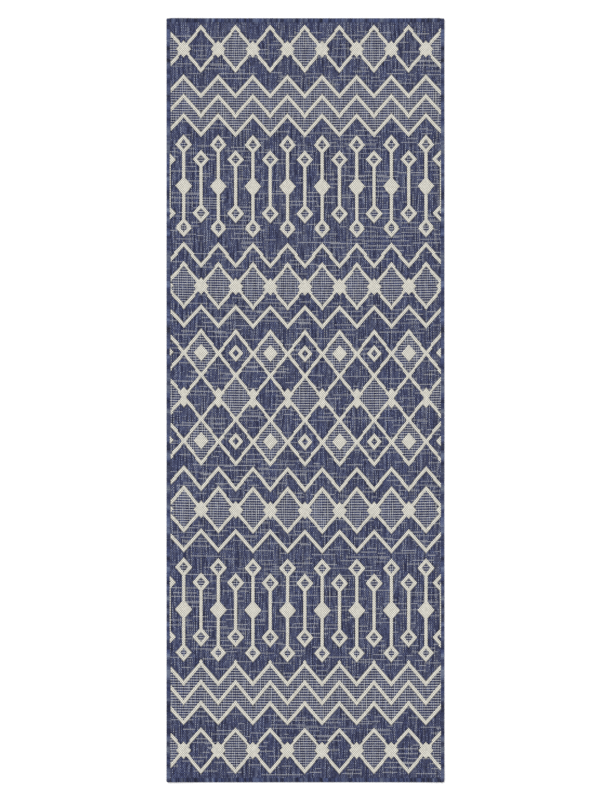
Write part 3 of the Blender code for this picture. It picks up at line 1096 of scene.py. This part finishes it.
def windOvercast(name, start, end, width, toRoom, material, rounded):
    chance = np.random.default_rng(overcast["seed"] + len(name))
    thickness, halfWidth = overcast["yarnHalfThickness"], overcast["yarnHalfWidth"]
    turn = turnOfYarn(width)
    turns = int(round((end - start) / overcast["pitch"]))
    pitch = (end - start - 2 * halfWidth) / turns
    sides = overcast["sides"]
    angles = 2 * np.pi * np.arange(sides) / sides
    points, weave = [], []
    for number in range(turns):
        sway = chance.uniform(-1, 1) * overcast["wobble"]
        for inset, z, share, facing in turn:
            s = start + halfWidth + (number + share) * pitch
            pulled = pulledIn(min(s - start, end - s)) if rounded else 0.0
            a = max(inset + sway * (inset > width / 2), pulled)
            outA, outZ = math.cos(math.radians(facing)), math.sin(math.radians(facing))
            for angle in angles:
                out, along = thickness * math.cos(angle), halfWidth * math.sin(angle)
                points.append((a + out * outA, s + along, z + out * outZ))
                weave.append((number + share, angle / (2 * math.pi)))
    rings = turns * len(turn)
    ring = np.repeat(np.arange(rings - 1), sides)
    side = np.tile(np.arange(sides), rings - 1)
    after = (side + 1) % sides
    near, far = ring * sides, (ring + 1) * sides
    quads = np.stack([near + side, far + side, far + after, near + after], -1)
    caps = [tuple(range(sides)), tuple(int((rings - 1) * sides + k) for k in reversed(range(sides)))]
    inset, s, z = np.array(points).T
    x, y = toRoom(inset, s)
    placed = np.stack([x, y, z + liftAt(x, y)], -1)
    sheets = {"weave": np.array(weave), "OFBake": woundLayout(ring, side, turns, rings)}
    return meshObject(name, placed, quads.tolist() + caps, material, sheets)


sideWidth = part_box("overcast_left")[1].x - rugLow.x
endWidth = rugHigh.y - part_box("overcast_top")[0].y
sideSpan = (rugLow.y, rugHigh.y)
endSpan = (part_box("overcast_top")[0].x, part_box("overcast_top")[1].x)
sewnRuns = {
    "left": (sideSpan, sideWidth, lambda inset, s: (rugLow.x + inset, s), "side"),
    "right": (sideSpan, sideWidth, lambda inset, s: (rugHigh.x - inset, s), "side"),
    "top": (endSpan, endWidth, lambda inset, s: (s, rugHigh.y - inset), "top"),
    "bottom": (endSpan, endWidth, lambda inset, s: (s, rugLow.y + inset), "bottom"),
}
edges = {}
for run, (span, width, toRoom, yarn) in sewnRuns.items():
    edges[f"overcast_{run}"] = windOvercast(
        f"wound_overcast_{run}", *span, width, toRoom, edgeMaterials[yarn], rounded=yarn == "side"
    )
print("overcasting wound:", len(edges), "edges")


# every piece rides on the one body, and hides its frame node where it has one
def dress(piece, node=None):
    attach(piece, "root")
    if node:
        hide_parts(node)


dress(groundCloth, "ground_cloth")
for node, piece in edges.items():
    dress(piece, node)
for node, piece in figures.items():
    dress(piece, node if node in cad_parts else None)
for piece in [*hatching.values(), weftSlubs]:
    dress(piece)
print("pieces dressed")


# studio: plain pale floor, even soft light
studio = {
    "floorSize": 40.0,
    "floorDrop": 0.0002,     # keeps the floor and the cloth's back from flickering through each other
    "floorColour": (0.93, 0.93, 0.93, 1.0),
    "floorRoughness": 0.9,
    "floorSpecular": 0.1,
    "skyColour": (1.0, 1.0, 1.0, 1.0),
    "skyStrength": 0.93,
    "sunStrength": 1.48,
    "sunTurn": (math.radians(38), 0.0, math.radians(-142)),
    "sunSoftness": math.radians(25),
}


def makeStudio():
    bpy.ops.mesh.primitive_plane_add(size=studio["floorSize"], location=(0, 0, -studio["floorDrop"]))
    floor = bpy.context.object
    floor.name = "studio_floor"
    finish = bpy.data.materials.new("paleFloor")
    finish.use_nodes = True
    shader = finish.node_tree.nodes["Principled BSDF"]
    shader.inputs["Base Color"].default_value = studio["floorColour"]
    shader.inputs["Roughness"].default_value = studio["floorRoughness"]
    shader.inputs["Specular IOR Level"].default_value = studio["floorSpecular"]
    floor.data.materials.append(finish)
    world = bpy.data.worlds.new("softSky")
    world.use_nodes = True
    sky = world.node_tree.nodes["Background"]
    sky.inputs["Color"].default_value = studio["skyColour"]
    sky.inputs["Strength"].default_value = studio["skyStrength"]
    bpy.context.scene.world = world
    sun = bpy.data.lights.new("softSun", "SUN")
    sun.energy = studio["sunStrength"]
    sun.angle = studio["sunSoftness"]
    lamp = bpy.data.objects.new("softSun", sun)
    lamp.rotation_euler = studio["sunTurn"]
    bpy.context.scene.collection.objects.link(lamp)
    bpy.context.scene.view_settings.view_transform = "Standard"
    bpy.context.scene.cycles.use_denoising = False      # it would smear the pips of the weave


makeStudio()

camera = {
    "lens": 100.0,
    "height": 6.401,         # over the floor, so that the frame is 2.30 m high at the rug's face
    "offset": (0.0017, 0.0006),
    "seesAsFarAs": 60.0,
}


def makeCamera():
    data = bpy.data.cameras.new("overheadCamera")
    data.lens = camera["lens"]
    data.clip_end = camera["seesAsFarAs"]
    made = bpy.data.objects.new("overheadCamera", data)
    made.location = (*camera["offset"], camera["height"])
    bpy.context.scene.collection.objects.link(made)
    bpy.context.scene.camera = made


makeCamera()
print("studio and camera ready")
